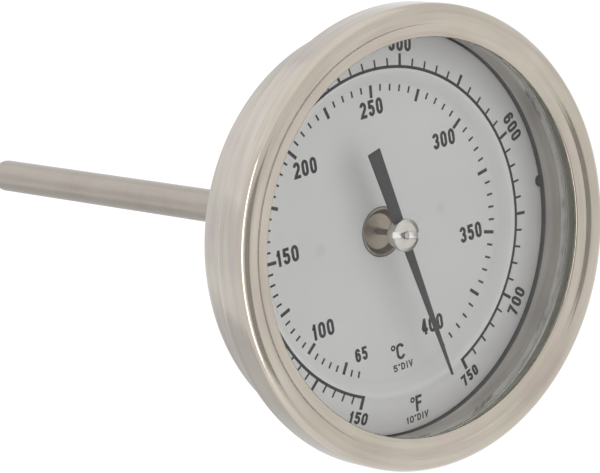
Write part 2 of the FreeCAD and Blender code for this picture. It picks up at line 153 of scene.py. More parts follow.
# ================================================================ materials
class Tree:
    """A small helper that writes a node tree."""

    def __init__(self, name):
        self.mat = bpy.data.materials.new(name)
        self.mat.use_nodes = True
        self.nt = self.mat.node_tree
        self.nt.nodes.clear()
        self.out = self.nt.nodes.new("ShaderNodeOutputMaterial")

    def node(self, kind, **props):
        n = self.nt.nodes.new(kind)
        for k, v in props.items():
            setattr(n, k, v)
        return n

    def link(self, a, b):
        self.nt.links.new(a, b)

    def put(self, socket, value):
        if isinstance(value, bpy.types.NodeSocket):
            self.link(value, socket)
        else:
            socket.default_value = value

    def math(self, op, a, b=0.0, c=None):
        n = self.node("ShaderNodeMath", operation=op)
        self.put(n.inputs[0], a)
        self.put(n.inputs[1], b)
        if c is not None:
            self.put(n.inputs[2], c)
        return n.outputs[0]

    def xyz(self, x, y, z):
        n = self.node("ShaderNodeCombineXYZ")
        for s, v in zip(n.inputs, (x, y, z)):
            self.put(s, v)
        return n.outputs[0]

    def place(self):
        """x, y, z of the surface in the object's own frame, in millimetres."""
        t = self.node("ShaderNodeTexCoord")
        s = self.node("ShaderNodeVectorMath", operation="SCALE")
        self.link(t.outputs["Object"], s.inputs[0])
        s.inputs["Scale"].default_value = 1000.0
        d = self.node("ShaderNodeSeparateXYZ")
        self.link(s.outputs[0], d.inputs[0])
        return s.outputs[0], d.outputs[0], d.outputs[1], d.outputs[2]

    def round_place(self):
        """whole, r, y, cos, sin about the stem axis, in millimetres."""
        whole, x, y, z = self.place()
        r = self.math("SQRT", self.math("ADD", self.math("MULTIPLY", x, x),
                                        self.math("MULTIPLY", z, z)))
        safe = self.math("MAXIMUM", r, 1e-4)
        return whole, r, y, self.math("DIVIDE", x, safe), self.math("DIVIDE", z, safe)

    def noise(self, vector, scale, detail=2.0, rough=0.5, w=None):
        n = self.node("ShaderNodeTexNoise")
        if w is not None:
            n.noise_dimensions = "4D"
            n.inputs["W"].default_value = w
        self.link(vector, n.inputs["Vector"])
        n.inputs["Scale"].default_value = scale
        n.inputs["Detail"].default_value = detail
        n.inputs["Roughness"].default_value = rough
        return n.outputs["Fac"]

    def span(self, value, a0, a1, b0, b1, smooth=False):
        n = self.node("ShaderNodeMapRange")
        n.clamp = True
        if smooth:
            n.interpolation_type = "SMOOTHSTEP"
        self.put(n.inputs["Value"], value)
        for key, v in (("From Min", a0), ("From Max", a1), ("To Min", b0), ("To Max", b1)):
            self.put(n.inputs[key], v)
        return n.outputs[0]

    def ramp(self, fac, stops):
        n = self.node("ShaderNodeValToRGB")
        els = n.color_ramp.elements
        while len(els) < len(stops):
            els.new(0.5)
        for e, (pos, col) in zip(els, stops):
            e.position = pos
            e.color = (*col, 1.0)
        self.put(n.inputs["Fac"], fac)
        return n.outputs["Color"]

    def blend(self, fac, a, b, mode="MIX"):
        n = self.node("ShaderNodeMix", data_type="RGBA", blend_type=mode)
        self.put(n.inputs["Factor"], fac)
        for key, v in (("A", a), ("B", b)):
            s = [i for i in n.inputs if i.name == key and i.type == "RGBA"][0]
            self.put(s, v if isinstance(v, bpy.types.NodeSocket) else (*v, 1.0))
        return [o for o in n.outputs if o.type == "RGBA"][0]

    def bump(self, height, strength, distance, normal=None):
        n = self.node("ShaderNodeBump")
        n.inputs["Strength"].default_value = strength
        n.inputs["Distance"].default_value = distance
        self.link(height, n.inputs["Height"])
        if normal is not None:
            self.link(normal, n.inputs["Normal"])
        return n.outputs["Normal"]

    def principled(self, **values):
        p = self.node("ShaderNodeBsdfPrincipled")
        for key, v in values.items():
            s = p.inputs[key.replace("_", " ")]
            if isinstance(v, bpy.types.NodeSocket):
                self.link(v, s)
            elif isinstance(v, tuple) and len(v) == 3:
                s.default_value = (*v, 1.0)
            else:
                s.default_value = v
        self.link(p.outputs[0], self.out.inputs["Surface"])
        return p


def turned_metal(name, dark, light, rough, grain=1.0, bump=0.12, seed=0.0,
                 streak=0.5, smudge=0.6, metallic=1.0, painted_side_tint=False):
    """Metal with the fine rings that turning, spinning or ring polishing
    leaves round the stem axis, faint colour streaks along them, and smudges."""
    t = Tree(name)
    whole, r, y, c, s = t.round_place()
    across = t.math("ADD", r, t.math("MULTIPLY", y, 0.83))
    # long round the ring, short across it
    fine = t.noise(t.xyz(t.math("MULTIPLY", c, 3.0), t.math("MULTIPLY", s, 3.0),
                         t.math("MULTIPLY", across, 9.0 * grain)),
                   1.0, 3.0, 0.6, seed + 0.1)
    band = t.noise(t.xyz(t.math("MULTIPLY", c, 2.4), t.math("MULTIPLY", s, 2.4),
                         t.math("MULTIPLY", across, 1.1 * grain)),
                   1.0, 2.0, 0.5, seed + 3.7)
    cloud = t.noise(whole, 0.075, 3.0, 0.55, seed + 7.3)
    speck = t.noise(whole, 1.6, 2.0, 0.6, seed + 11.9)
    tone = t.math("ADD", t.math("MULTIPLY", band, streak),
                  t.math("ADD", t.math("MULTIPLY", fine, 0.35),
                         t.math("MULTIPLY", cloud, 1.0 - streak)))
    colour = t.ramp(t.span(tone, 0.46, 0.86, 0.0, 1.0),
                    [(0.0, dark),
                     (0.5, tuple((a + b) / 2.0 for a, b in zip(dark, light))),
                     (1.0, light)])
    # the steel's hue drifts a little, from straw to faint pink
    drift = t.noise(t.xyz(t.math("MULTIPLY", c, 3.5), t.math("MULTIPLY", s, 3.5),
                          t.math("MULTIPLY", across, 0.25)), 1.0, 3.0, 0.6, seed + 15.0)
    colour = t.blend(t.span(drift, 0.38, 0.62, 0.0, 1.0),
                     t.blend(1.0, colour, (0.992, 1.008, 0.972), "MULTIPLY"),
                     t.blend(1.0, colour, (1.012, 0.985, 1.010), "MULTIPLY"))
    if painted_side_tint:
        # painted reflection: the outer side of the ring gets a cooler tint than its front, standing in for
        # the colder light it mirrors
        side = t.math("MULTIPLY", t.span(y, -36.6, -35.6, 0.0, 1.0, True),
                      t.span(r, 40.6, 41.6, 0.0, 1.0, True))
        colour = t.blend(side, colour, t.blend(1.0, colour, (1.0, 1.02, 1.075), "MULTIPLY"))
    wear = t.math("ADD", t.math("MULTIPLY", cloud, smudge),
                  t.math("ADD", t.math("MULTIPLY", fine, 0.5),
                         t.math("MULTIPLY", speck, 0.15)))
    roughness = t.span(wear, 0.3, 0.95, rough[0], rough[1])
    n1 = t.bump(fine, bump, 0.00002)
    n2 = t.bump(cloud, 0.25, 0.00012, n1)
    t.principled(Base_Color=colour, Metallic=metallic, Roughness=roughness,
                 Normal=n2)
    return t.mat


def drawn_metal(name, dark, light, rough, bump=0.1, seed=0.0):
    """Metal ground along the stem axis: long scratches, faint draw marks."""
    t = Tree(name)
    whole, r, y, c, s = t.round_place()
    long = t.noise(t.xyz(t.math("MULTIPLY", c, 26.0), t.math("MULTIPLY", s, 26.0),
                         t.math("MULTIPLY", y, 0.10)), 1.0, 3.0, 0.6, seed)
    rings = t.noise(t.xyz(t.math("MULTIPLY", c, 0.9), t.math("MULTIPLY", s, 0.9),
                          t.math("MULTIPLY", y, 5.5)), 1.0, 3.0, 0.6, seed + 2.0)
    cloud = t.noise(whole, 0.12, 3.0, 0.55, seed + 5.0)
    tone = t.math("ADD", t.math("MULTIPLY", long, 0.45),
                  t.math("ADD", t.math("MULTIPLY", rings, 0.3),
                         t.math("MULTIPLY", cloud, 0.45)))
    colour = t.ramp(t.span(tone, 0.35, 0.85, 0.0, 1.0), [(0.0, dark), (1.0, light)])
    roughness = t.span(t.math("ADD", t.math("MULTIPLY", rings, 0.5),
                              t.math("MULTIPLY", cloud, 0.5)),
                       0.3, 0.7, rough[0], rough[1])
    n1 = t.bump(rings, bump, 0.00002)
    n2 = t.bump(long, bump * 0.8, 0.000015, n1)
    t.principled(Base_Color=colour, Metallic=1.0, Roughness=roughness, Normal=n2)
    return t.mat


def paint(name, dark, light, rough, scale=3.0, bump=0.1, depth=0.00002, seed=0.0,
          metallic=0.0, specular=0.5):
    """Fine even coat: small grain, faint cloud, slight roughness change."""
    t = Tree(name)
    whole, x, y, z = t.place()
    grain = t.noise(whole, scale, 3.0, 0.65, seed)
    cloud = t.noise(whole, 0.05, 2.0, 0.5, seed + 4.0)
    tone = t.math("ADD", t.math("MULTIPLY", grain, 0.5), t.math("MULTIPLY", cloud, 0.5))
    colour = t.ramp(t.span(tone, 0.3, 0.7, 0.0, 1.0), [(0.0, dark), (1.0, light)])
    roughness = t.span(grain, 0.3, 0.7, rough[0], rough[1])
    t.principled(Base_Color=colour, Metallic=metallic, Roughness=roughness,
                 Specular_IOR_Level=specular, Normal=t.bump(grain, bump, depth))
    return t.mat


def inner_material():
    """Inside of the cup: dull drawn steel, greyer than the outside, with painted
    shade that makes it dark in the corner where the dial meets the wall and behind it."""
    t = Tree("inner_steel")
    whole, r, y, c, s = t.round_place()
    band = t.noise(t.xyz(t.math("MULTIPLY", c, 2.6), t.math("MULTIPLY", s, 2.6),
                         t.math("MULTIPLY", y, 1.3)), 1.0, 3.0, 0.55, 31.0)
    cloud = t.noise(whole, 0.09, 3.0, 0.55, 33.0)
    tone = t.math("ADD", t.math("MULTIPLY", band, 0.5), t.math("MULTIPLY", cloud, 0.5))
    steel = t.ramp(t.span(tone, 0.32, 0.68, 0.0, 1.0),
                   [(0.0, (0.58, 0.545, 0.515)), (1.0, (0.76, 0.722, 0.690))])
    # y is negative towards the reader; the corner lies near y = -27
    edge = t.math("ADD", y, t.math("MULTIPLY", band, 0.5))
    # painted shade: the wall turns near black towards the dial's edge and behind the dial, standing in for
    # the shadow in that corner
    painted_corner_shade = t.span(edge, -27.20, -26.75, 0.0, 1.0, True)
    colour = t.blend(painted_corner_shade, steel, (0.085, 0.080, 0.075))
    rough = t.span(tone, 0.3, 0.7, 0.42, 0.56)
    n = t.bump(band, 0.15, 0.00003)
    t.principled(Base_Color=colour, Metallic=0.55, Roughness=rough, Normal=n)
    return t.mat


STEEL_DARK = (0.425, 0.378, 0.326)
STEEL_LIGHT = (0.535, 0.492, 0.430)

m_bezel = turned_metal("bezel_steel", STEEL_DARK, STEEL_LIGHT, (0.13, 0.20), 1.0, 0.10, 0.0,
                       0.55, 0.6, 1.0, True)
m_case = turned_metal("case_steel", (0.415, 0.378, 0.345), (0.545, 0.515, 0.480),
                      (0.24, 0.40), 0.8, 0.16, 20.0)
m_inner = inner_material()
m_seat = turned_metal("seat_steel", (0.66, 0.65, 0.62), (0.78, 0.77, 0.74),
                      (0.18, 0.28), 1.2, 0.1, 40.0)
m_seat_front = paint("seat_front_matt", (0.88, 0.88, 0.80), (0.94, 0.94, 0.87),
                     (0.45, 0.60), 4.0, 0.2, 0.00002, 41.0, 0.0, 0.4)
m_fitting = turned_metal("fitting_steel", (0.42, 0.40, 0.375), (0.56, 0.535, 0.50),
                         (0.22, 0.36), 1.1, 0.3, 50.0, 0.5, 0.5)
m_stem = drawn_metal("stem_steel", (0.315, 0.278, 0.248), (0.425, 0.388, 0.347), (0.24, 0.36),
                     0.12, 60.0)
m_nickel = turned_metal("nickel_plate", (0.60, 0.575, 0.535), (0.70, 0.68, 0.64),
                        (0.30, 0.42), 3.0, 0.06, 70.0)
# painted light: a brighter nickel for the slot, which faces the same way as the hub's face
m_slot_painted_light = turned_metal("slot_cut", (0.80, 0.785, 0.775), (0.92, 0.905, 0.90),
                      (0.26, 0.38), 3.0, 0.05, 75.0)
m_bush = turned_metal("bush_steel", (0.27, 0.225, 0.18), (0.40, 0.345, 0.285),
                      (0.34, 0.48), 3.5, 0.2, 80.0)
m_brass = turned_metal("brass_part", (0.58, 0.42, 0.18), (0.74, 0.56, 0.28),
                       (0.22, 0.36), 2.0, 0.2, 90.0)
m_strip = turned_metal("bimetal_strip", (0.44, 0.41, 0.36), (0.60, 0.56, 0.50),
                       (0.28, 0.42), 2.0, 0.2, 100.0)
m_rubber = paint("gasket_rubber", (0.84, 0.84, 0.76), (0.92, 0.92, 0.85),
                 (0.55, 0.75), 5.0, 0.3, 0.00003, 1.0, 0.0, 0.35)
m_pointer = paint("pointer_paint", (0.016, 0.016, 0.017), (0.028, 0.028, 0.029),
                  (0.34, 0.46), 6.0, 0.12, 0.00001, 2.0, 0.0, 0.5)
m_ink = paint("dial_ink", (0.010, 0.010, 0.011), (0.020, 0.020, 0.021),
              (0.40, 0.55), 8.0, 0.1, 0.00001, 3.0, 0.0, 0.35)


def dial_material():
    """Satin silver dial: fine matt grain, a trace of rolling lines, faint clouds,
    painted shade on the two dimples and painted light on the bend and the rim."""
    t = Tree("dial_face")
    whole, r, y, c, s = t.round_place()
    _, x, _, z = t.place()
    grain = t.noise(whole, 5.0, 3.0, 0.7, 1.3)
    rolled = t.noise(t.xyz(t.math("MULTIPLY", x, 4.5), t.math("MULTIPLY", y, 4.5),
                           t.math("MULTIPLY", z, 0.12)), 1.0, 2.0, 0.6, 2.9)
    cloud = t.noise(whole, 0.045, 2.0, 0.5, 6.1)
    tone = t.math("ADD", t.math("MULTIPLY", grain, 0.30),
                  t.math("ADD", t.math("MULTIPLY", rolled, 0.22),
                         t.math("MULTIPLY", cloud, 0.48)))
    colour = t.ramp(t.span(tone, 0.32, 0.68, 0.0, 1.0),
                    [(0.0, (0.800, 0.797, 0.790)), (1.0, (0.868, 0.864, 0.856))])
    # painted shade: faint grey spots over the two dimples that the welded posts leave, standing in for the
    # dimples' shading
    dx = t.math("SUBTRACT", t.math("ABSOLUTE", x), 14.35)
    dz = t.math("SUBTRACT", z, 0.45)
    spot = t.math("SQRT", t.math("ADD", t.math("MULTIPLY", dx, dx), t.math("MULTIPLY", dz, dz)))
    colour = t.blend(t.span(spot, 0.3, 1.7, 0.55, 0.0, True), colour, (0.70, 0.70, 0.70))
    # painted light: the bend and the rim beyond it are a shade lighter than the flat, to offset the shade
    # that falls on them
    lift = t.math("MULTIPLY", t.span(r, 26.8, 28.2, 0.0, 1.0, True),
                  t.span(r, 29.4, 31.4, 1.0, 0.0, True))
    colour = t.blend(lift, colour, (0.955, 0.952, 0.945))
    # painted light: the rim is lighter still, most towards the bottom of the dial, to offset the shade there
    painted_rim_light = t.math("MULTIPLY", t.span(r, 29.8, 31.8, 0.0, 1.0, True),
                 t.span(s, -0.9, 0.5, 1.0, 0.65, True))
    colour = t.blend(painted_rim_light, colour, (0.955, 0.945, 0.938))
    rough = t.span(t.math("ADD", t.math("MULTIPLY", grain, 0.6),
                          t.math("MULTIPLY", rolled, 0.4)), 0.3, 0.7, 0.42, 0.54)
    n = t.bump(grain, 0.12, 0.00001)
    t.principled(Base_Color=colour, Metallic=0.0, Roughness=rough,
                 Specular_IOR_Level=0.35, Normal=n)
    return t.mat


def glass_material():
    """Clear window: what is behind it, and a mirror of the room on top by
    Fresnel, with a trace of dust and finger marks in the mirror's roughness."""
    t = Tree("window_glass")
    whole, x, y, z = t.place()
    dust = t.noise(whole, 1.1, 4.0, 0.7, 4.4)
    film = t.noise(whole, 0.06, 3.0, 0.6, 8.8)
    rough = t.span(t.math("ADD", t.math("MULTIPLY", dust, 0.4),
                          t.math("MULTIPLY", film, 0.6)), 0.35, 0.65, 0.01, 0.07)
    clear = t.node("ShaderNodeBsdfTransparent")
    tint = t.ramp(t.span(film, 0.3, 0.7, 0.0, 1.0),
                  [(0.0, (0.982, 0.985, 0.982)), (1.0, (0.990, 0.992, 0.990))])
    t.link(tint, clear.inputs["Color"])
    gloss = t.node("ShaderNodeBsdfGlossy")
    gloss.inputs["Color"].default_value = (1.0, 1.0, 1.0, 1.0)
    t.link(rough, gloss.inputs["Roughness"])
    fres = t.node("ShaderNodeFresnel")
    fres.inputs["IOR"].default_value = 1.26
    mix = t.node("ShaderNodeMixShader")
    t.link(fres.outputs[0], mix.inputs[0])
    t.link(clear.outputs[0], mix.inputs[1])
    t.link(gloss.outputs[0], mix.inputs[2])
    t.link(mix.outputs[0], t.out.inputs["Surface"])
    return t.mat


def glass_edge_material():
    """The ground edge of the pane: grey-green, matt."""
    t = Tree("window_glass_edge")
    whole, x, y, z = t.place()
    grain = t.noise(whole, 3.0, 3.0, 0.6, 2.2)
    cloud = t.noise(whole, 0.10, 2.0, 0.5, 5.2)
    tone = t.math("ADD", t.math("MULTIPLY", grain, 0.5), t.math("MULTIPLY", cloud, 0.5))
    colour = t.ramp(t.span(tone, 0.3, 0.7, 0.0, 1.0),
                    [(0.0, (0.40, 0.42, 0.385)), (1.0, (0.49, 0.51, 0.465))])
    t.principled(Base_Color=colour, Roughness=t.span(grain, 0.3, 0.7, 0.5, 0.65),
                 Specular_IOR_Level=0.4, Normal=t.bump(grain, 0.2, 0.00002))
    return t.mat


m_dial = dial_material()
m_glass_edge = glass_edge_material()
m_glass = glass_material()


def dress(obj, mat, body, replaces=()):
    obj.data.materials.clear()
    obj.data.materials.append(mat)
    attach(obj, body)
    if replaces:
        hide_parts(*replaces)
    return obj


# ================================================================ case and bezel
CROWN = 2.796
crown = arc(40.2, -38.4 + CROWN, CROWN, CROWN, -90.0, -131.3, 18)
bezel = [(38.4, -30.4, 0.12), (42.1, -30.4, 1.0)]
bezel_loop = fillet([(38.4, -31.15, 0.1), (38.4, -30.4, 0.15), (42.1, -30.4, 1.0),
                     (42.1, -38.4, 1.9), (40.2, -38.4)], 12)
bezel_loop = bezel_loop[:-1]
tail = crown[:-1] + [(38.1, -37.45, 1.15), (36.0, -37.30, 0.40), (36.0, -36.5, 0.12),
                     (40.2, -36.5)]
full = fillet([(41.0, -38.4)] + tail + [(41.0, -36.5)], 8)[1:-1]
inner = arc(40.2, -36.5, 1.1, 1.1, -90.0, 0.0, 8)
bezel_loop += full + inner + [(41.3, -31.15)]
bezel_v = lathe("bezel_ring_shell", bezel_loop, 320, 28.0)
dress(bezel_v, m_bezel, "housing", ["bezel_ring"])

case_loop = fillet([
    (7.0, -20.0), (38.1, -20.0, 2.5), (38.1, -31.15, 0.25), (41.1, -31.15, 0.15),
    (41.1, -31.85, 0.15), (37.4, -31.85, 0.5), (37.4, -20.7, 1.8), (7.0, -20.7)], 10)
case_v = lathe("case_body_shell", case_loop, 256, 28.0)
dress(case_v, m_case, "housing", ["case_body"])
case_v.data.materials.append(m_inner)
for p in case_v.data.polygons:
    # the inside of the cup is duller than the outside
    c = p.center / MM
    r = math.hypot(c.x, c.z)
    inside = (r < 37.75 and c.y < -20.6 and p.normal.dot(Vector((c.x, 0, c.z))) < 0.0) or \
             (c.y < -20.5 and r < 37.0)
    if inside:
        p.material_index = 1

seat_loop = fillet([(36.9, -31.85, 0.1), (40.9, -31.85, 0.1), (40.9, -33.8, 0.1),
                    (36.9, -33.8, 0.4)], 6)
seat_v = lathe("glass_seat_ring_fine", seat_loop, 256)
dress(seat_v, m_seat, "housing", ["glass_seat_ring"])
seat_v.data.materials.append(m_seat_front)
for p in seat_v.data.polygons:
    # the face under the glass is matt, the turned edge is bright
    c = p.center / MM
    if c.y < -33.75 and math.hypot(c.x, c.z) > 37.2:
        p.material_index = 1
gasket_loop = fillet([(36.7, -36.1, 0.08), (40.0, -36.1), (40.0, -36.5), (36.7, -36.5, 0.12)], 4)
dress(lathe("window_gasket_fine", gasket_loop, 256), m_rubber, "housing",
      ["window_gasket"])
glass_loop = [(0.0, -33.81), (12.0, -33.81), (26.0, -33.81), (39.85, -33.81), (40.0, -33.95),
              (40.0, -35.95), (39.85, -36.09), (26.0, -36.09), (12.0, -36.09), (0.0, -36.09)]
glass_v = lathe("window_glass_pane", glass_loop, 256)
dress(glass_v, m_glass, "housing", ["window_glass"])
glass_v.data.materials.append(m_glass_edge)
for p in glass_v.data.polygons:
    c = p.center / MM
    if math.hypot(c.x, c.z) > 39.8:
        p.material_index = 1


# ================================================================ dial
FLAT = -24.4
NOTCH_R, NOTCH_AT, NOTCH_TURN = 1.15, 37.3, math.radians(0.3)


def rise(r):
    """How far the dial stands up, towards the reader, at radius r."""
    def line(q):
        if q < 27.3:
            return 0.0
        if q < 29.5:
            return 2.63 * (q - 27.3) / 2.2
        return 2.63 - 0.8 * (q - 29.5) / 7.7
    # the bends are rounded by averaging over a short width
    w = 0.62
    return sum(line(r + w * (k - 6) / 6.0) for k in range(13)) / 13.0


def dial_edge(a):
    """Outer radius at angle a, with the two locating notches."""
    r = 37.2
    for at in (math.pi / 2.0 + NOTCH_TURN, 3.0 * math.pi / 2.0 + NOTCH_TURN):
        d = (a - at + math.pi) % TAU - math.pi
        under = NOTCH_R ** 2 - (NOTCH_AT * math.sin(d)) ** 2
        if under > 0.0 and abs(d) < 0.2:
            r = min(r, NOTCH_AT * math.cos(d) - math.sqrt(under))
    return r


def dimple(x, z):
    """The faint prints that the two welded posts leave on the dial."""
    deep = 0.0
    for px in (14.35, -14.35):
        d2 = (x - px) ** 2 + (z - 0.45) ** 2
        deep += 0.075 * math.exp(-d2 / 1.1)
    return deep


angles = set(round(math.radians(a), 9) for a in range(360))
for at in (90.0 + 0.3, 270.0 + 0.3):
    for k in range(-28, 29):
        angles.add(round(math.radians(at + k * 0.09), 9))
angles = sorted(angles)
radii = [4.65, 4.9, 6.0, 8.0, 10.0, 11.4]
radii += [11.8 + 0.35 * k for k in range(15)]
radii += [17.6, 19.5, 22.0, 24.5, 26.2]
radii += [26.5 + 0.14 * k for k in range(30)]
radii += [30.9, 31.8, 32.8, 33.8, 34.8]
front, back = [], []
for r in radii:
    front.append([(r * math.sin(a), FLAT - rise(r) + dimple(r * math.sin(a), r * math.cos(a)),
                   r * math.cos(a)) for a in angles])
    back.append([(r * math.sin(a), FLAT - rise(r) + 0.5, r * math.cos(a)) for a in angles])
for share in (0.35, 0.7, 0.95, 1.0):
    f, b = [], []
    for a in angles:
        r = 34.8 + share * (dial_edge(a) - 34.8)
        lift = 0.05 if share == 1.0 else 0.0
        f.append((r * math.sin(a), FLAT - rise(min(r, 36.9)) + (r > 36.9) * 0.0 + lift, r * math.cos(a)))
        b.append((r * math.sin(a), FLAT - rise(min(r, 36.9)) + 0.5 - lift, r * math.cos(a)))
    front.append(f)
    back.append(b)
dial_v = grid_solid("dial_plate_face", front + back[::-1], True, 50.0)
dress(dial_v, m_dial, "housing", ["dial_plate"])


# ---------------------------------------------------------------- printing
INK = 0.022      # how far the ink stands on the dial


class Print:
    """Printed marks: thin closed strips that follow the dial's surface."""

    def __init__(self, name):
        self.name = name
        self.bm = bmesh.new()

    def strip(self, left, right, closed=False):
        """left, right: matching lists of points (x, z) on the dial."""
        top, low = [], []
        for side in (left, right):
            t, b = [], []
            for x, z in side:
                y = FLAT - rise(math.hypot(x, z))
                t.append(self.bm.verts.new((x, y - INK, z)))
                b.append(self.bm.verts.new((x, y + INK, z)))
            top.append(t)
            low.append(b)
        n = len(left)
        last = n if closed else n - 1
        for k in range(last):
            j = (k + 1) % n
            self.bm.faces.new((top[0][k], top[0][j], top[1][j], top[1][k]))
            self.bm.faces.new((low[0][k], low[1][k], low[1][j], low[0][j]))
            self.bm.faces.new((top[0][k], low[0][k], low[0][j], top[0][j]))
            self.bm.faces.new((top[1][k], top[1][j], low[1][j], low[1][k]))
        if not closed:
            for k in (0, n - 1):
                self.bm.faces.new((top[0][k], top[1][k], low[1][k], low[0][k]))

    def tick(self, a, r0, r1, wide):
        """Radial mark at angle a (radians, clockwise from the top)."""
        n = 6
        dx, dz = math.cos(a) * wide / 2.0, -math.sin(a) * wide / 2.0
        pts = [r0 + (r1 - r0) * k / n for k in range(n + 1)]
        self.strip([(r * math.sin(a) - dx, r * math.cos(a) - dz) for r in pts],
                   [(r * math.sin(a) + dx, r * math.cos(a) + dz) for r in pts])

    def ring(self, a0, a1, r0, r1, n, rows=5):
        """An arc of a wide line: several rows across, so that it follows the
        curve of the dish."""
        grid = []
        for i in range(rows + 1):
            r = r0 + (r1 - r0) * i / rows
            y = FLAT - rise(r)
            t_row, b_row = [], []
            for k in range(n + 1):
                t = a0 + (a1 - a0) * k / n
                x, z = r * math.sin(t), r * math.cos(t)
                t_row.append(self.bm.verts.new((x, y - INK, z)))
                b_row.append(self.bm.verts.new((x, y + INK, z)))
            grid.append((t_row, b_row))
        for (ta, ba), (tb, bb) in zip(grid, grid[1:]):
            for k in range(n):
                self.bm.faces.new((ta[k], ta[k + 1], tb[k + 1], tb[k]))
                self.bm.faces.new((ba[k], bb[k], bb[k + 1], ba[k + 1]))
            for k in (0, n):
                self.bm.faces.new((ta[k], tb[k], bb[k], ba[k]))
        for t_row, b_row in (grid[0], grid[-1]):
            for k in range(n):
                self.bm.faces.new((t_row[k], b_row[k], b_row[k + 1], t_row[k + 1]))

    def stroke(self, pts, wide, place, closed=False, ext=""):
        """A stroke of even width along pts, mapped on to the dial by place."""
        P = [Vector(p) for p in pts]
        if "s" in ext:
            P[0] = P[0] + (P[0] - P[1]).normalized() * wide / 2.0
        if "e" in ext:
            P[-1] = P[-1] + (P[-1] - P[-2]).normalized() * wide / 2.0
        left, right = [], []
        n = len(P)
        for k in range(n):
            if closed:
                a, b = P[k] - P[k - 1], P[(k + 1) % n] - P[k]
            else:
                a = P[k] - P[k - 1] if k else P[1] - P[0]
                b = P[k + 1] - P[k] if k < n - 1 else P[-1] - P[-2]
            a, b = a.normalized(), b.normalized()
            m = (Vector((-a.y, a.x)) + Vector((-b.y, b.x))).normalized()
            lean = max(0.35, m.dot(Vector((-a.y, a.x))))
            off = m * (wide / 2.0 / lean)
            left.append(place(*(P[k] + off)))
            right.append(place(*(P[k] - off)))
        self.strip(left, right, closed)

    def done(self, mat, body="housing"):
        obj = finish_mesh(self.name, self.bm, 40.0)
        return dress(obj, mat, body)


# Plain condensed figures, drawn as strokes in a box one wide and one high.
def figure(ch):
    """Strokes of a figure: (points, closed, ext)."""
    top = lambda a0, a1, n=9: arc(0.5, 0.72, 0.5, 0.28, a0, a1, n)
    low = lambda a0, a1, n=9: arc(0.5, 0.28, 0.5, 0.28, a0, a1, n)
    if ch == "0":
        return [(top(0, 180, 12) + low(180, 360, 12), True, "")]
    if ch == "1":
        return [([(0.62, 1.0), (0.62, 0.0)], False, "se"),
                ([(0.05, 0.79), (0.42, 0.90), (0.62, 1.0)], False, "s")]
    if ch == "2":
        return [(top(172, -12, 11) + [(0.86, 0.52), (0.10, 0.10), (0.0, 0.0), (1.0, 0.0)],
                 False, "e")]
    if ch == "3":
        return [(arc(0.5, 0.755, 0.5, 0.245, 172, -80, 12) + [(0.36, 0.52)], False, ""),
                ([(0.36, 0.52)] + arc(0.5, 0.262, 0.5, 0.262, 80, -172, 12), False, "")]
    if ch == "4":
        return [([(0.74, 1.0), (0.74, 0.0)], False, "se"),
                ([(0.70, 1.02), (0.03, 0.27)], False, ""),
                ([(0.0, 0.24), (1.04, 0.24)], False, "e")]
    if ch == "5":
        return [([(0.93, 1.0), (0.13, 1.0), (0.07, 0.48)], False, "s"),
                ([(0.07, 0.50)] + arc(0.5, 0.31, 0.5, 0.31, 128, -168, 14), False, "")]
    if ch == "6":
        return [(arc(0.5, 0.36, 0.5, 0.26, 0, 180, 9) + low(180, 360, 9), True, ""),
                ([(0.0, 0.30), (0.0, 0.66)] + top(180, 14, 9), False, "")]
    if ch == "7":
        return [([(0.0, 1.0), (1.0, 1.0), (0.72, 0.60), (0.40, 0.0)], False, "se")]
    if ch == "C":
        return [(top(12, 180, 9) + low(180, 348, 9), False, "")]
    if ch == "F":
        return [([(0.06, 1.0), (0.06, 0.0)], False, "se"),
                ([(0.0, 1.0), (1.0, 1.0)], False, "e"),
                ([(0.06, 0.53), (0.86, 0.53)], False, "e")]
    if ch == "D":
        return [([(0.0, 0.0), (0.0, 1.0), (0.45, 1.0)] + arc(0.45, 0.5, 0.5, 0.5, 60, -60, 6)
                 + [(0.45, 0.0)], True, "")]
    if ch == "I":
        return [([(0.5, 1.0), (0.5, 0.0)], False, "se")]
    if ch == "V":
        return [([(0.0, 1.0), (0.5, 0.0), (1.0, 1.0)], False, "se")]
    if ch == "o":
        return [(arc(0.5, 0.5, 0.5, 0.5, 0, 345, 23), True, "")]
    raise ValueError(ch)


def write(ink, text, height, width, stroke, place, gap=None, sizes=None):
    """Set text in a box width by height, centred on place(0, 0)."""
    share = {"1": 0.62, "I": 0.42, "o": 0.5}
    gap = stroke * 0.62 if gap is None else gap
    cells = [(sizes or {}).get(c, share.get(c, 1.0)) for c in text]
    unit = (width - gap * (len(text) - 1)) / sum(cells)
    x = -width / 2.0
    for ch, cell in zip(text, cells):
        w = unit * cell
        high = height
        up = 0.0
        if ch == "o":
            high = w
            up = height - w
        for pts, closed, ext in figure(ch):
            inner = max(w - stroke, 0.01)
            at = [(x + stroke / 2.0 + px * inner,
                   up - height / 2.0 + stroke / 2.0 + py * (high - stroke)) for px, py in pts]
            ink.stroke(at, stroke, place, closed, ext)
        x += w + gap


def upright(cx, cz):
    return lambda u, v: (cx + u, cz + v)


def round_the_rim(a, r, inward=False):
    """Figures set along the rim, tops outward, or inward where asked."""
    s, c = math.sin(a), math.cos(a)

    def place(u, v):
        if inward:
            u, v = -u, -v
        return ((r + v) * s + u * c, (r + v) * c - u * s)
    return place


def place_of(t_f):
    """Angle of a temperature in Fahrenheit, radians clockwise from the top."""
    x = (t_f - 450.0) / 300.0
    return math.radians(159.305 * x + 12.008 * x * x - 2.7 * x ** 3 - 12.008)


outer = Print("dial_scale_outer")
outer.ring(place_of(150) - 0.011, place_of(750) + 0.011, 29.86, 30.42, 420)
for t in range(150, 751, 10):
    a = place_of(t)
    if t in (150, 750):
        outer.tick(a, 29.9, 32.45, 0.68)
    elif t % 50 == 0:
        outer.tick(a, 30.2, 32.50, 0.58)
    else:
        outer.tick(a, 30.2, 31.75, 0.38)
outer.done(m_ink)

